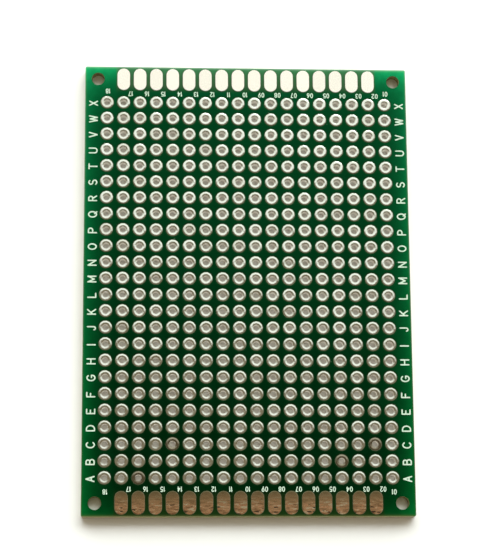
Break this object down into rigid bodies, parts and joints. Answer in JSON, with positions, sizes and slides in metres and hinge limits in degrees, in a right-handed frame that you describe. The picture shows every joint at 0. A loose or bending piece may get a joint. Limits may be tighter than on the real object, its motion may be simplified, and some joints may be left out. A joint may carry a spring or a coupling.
{
  "type": "prototype board",
  "caption": "Flat double-sided board with a square grid of plated lead holes in lettered rows, long solder pads along both short ends and a screw hole in each corner.",
  "frame": {"origin": "centre of the board's outline, on the plane of the underside edge pads' crowns", "axes": "+Z out of the front face, +Y along the board from row A to row X, +X across the board from column 18 to column 01"},
  "size_m": [0.05, 0.07, 0.0017],
  "materials": {
    "laminate": "glass-fibre laminate, satin, sawn edges",
    "solder_mask": "glossy green solder mask",
    "hole_plating": "bright crowned solder",
    "edge_pads": "levelled solder, finely streaked",
    "legend": "printed white ink"
  },
  "bodies": {
    "root": {"laminate": "laminate", "solder_mask_front": "solder_mask", "solder_mask_back": "solder_mask", "hole_plating_row_a": "hole_plating", "hole_plating_row_b": "hole_plating", "hole_plating_row_c": "hole_plating", "hole_plating_row_d": "hole_plating", "hole_plating_row_e": "hole_plating", "hole_plating_row_f": "hole_plating", "hole_plating_row_g": "hole_plating", "hole_plating_row_h": "hole_plating", "hole_plating_row_i": "hole_plating", "hole_plating_row_j": "hole_plating", "hole_plating_row_k": "hole_plating", "hole_plating_row_l": "hole_plating", "hole_plating_row_m": "hole_plating", "hole_plating_row_n": "hole_plating", "hole_plating_row_o": "hole_plating", "hole_plating_row_p": "hole_plating", "hole_plating_row_q": "hole_plating", "hole_plating_row_r": "hole_plating", "hole_plating_row_s": "hole_plating", "hole_plating_row_t": "hole_plating", "hole_plating_row_u": "hole_plating", "hole_plating_row_v": "hole_plating", "hole_plating_row_w": "hole_plating", "hole_plating_row_x": "hole_plating", "edge_pads_front_a_end": "edge_pads", "edge_pads_front_x_end": "edge_pads", "edge_pads_back_a_end": "edge_pads", "edge_pads_back_x_end": "edge_pads"}
  },
  "joints": []
}
